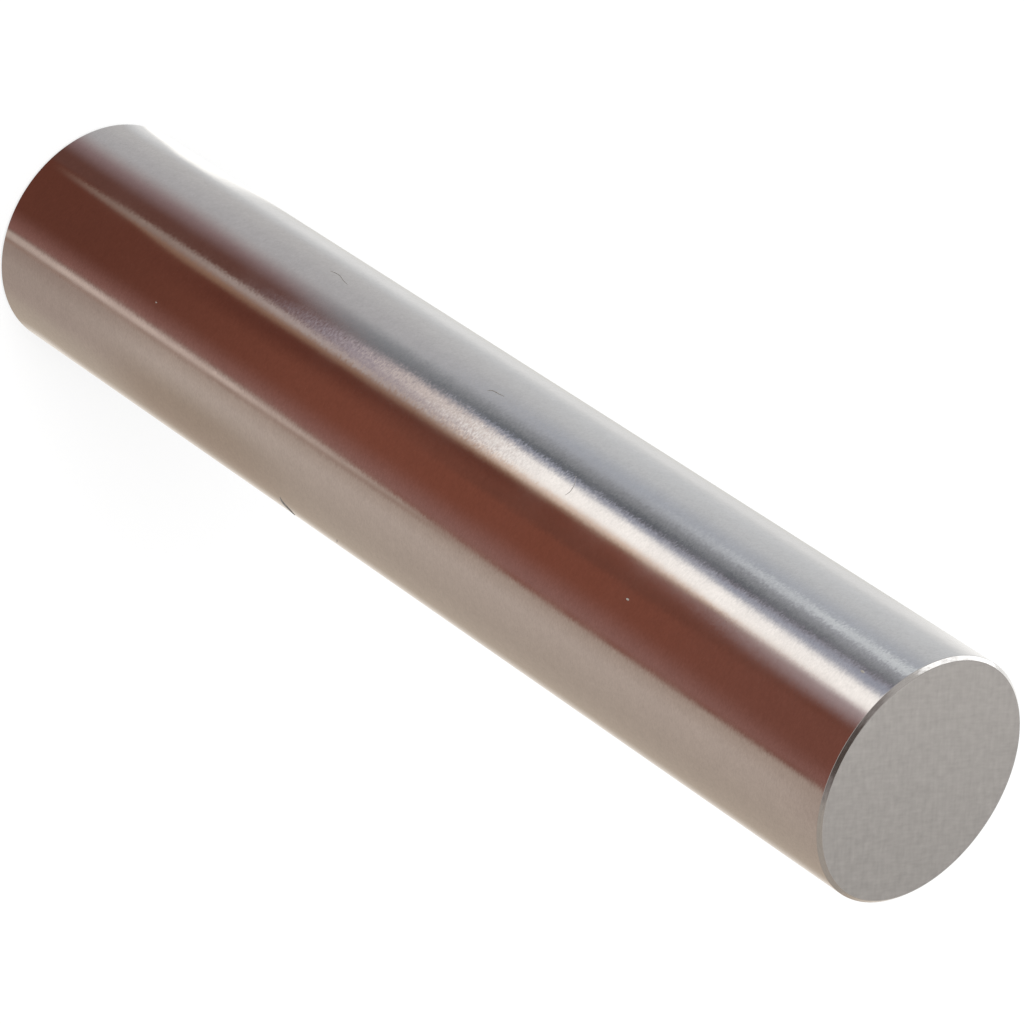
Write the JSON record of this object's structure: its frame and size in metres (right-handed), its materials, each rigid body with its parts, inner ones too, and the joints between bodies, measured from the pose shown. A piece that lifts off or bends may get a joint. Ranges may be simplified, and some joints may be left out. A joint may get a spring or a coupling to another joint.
{
  "type": "plug gauge",
  "caption": "Plain cylindrical plug gauge: a lapped steel gauge pin with square ground ends and lightly broken edges.",
  "frame": {"origin": "centre of the lower end face, on the axis", "axes": "+Z along the axis, from the lower end to the upper end; X and Y are free, because the pin is round"},
  "size_m": [0.01, 0.01, 0.0508],
  "materials": {
    "lapped_steel": "body ground and lapped to a bright, nearly mirror surface; both ends fine ground, satin"
  },
  "bodies": {
    "root": {"gauge_pin": "lapped_steel"}
  },
  "joints": []
}
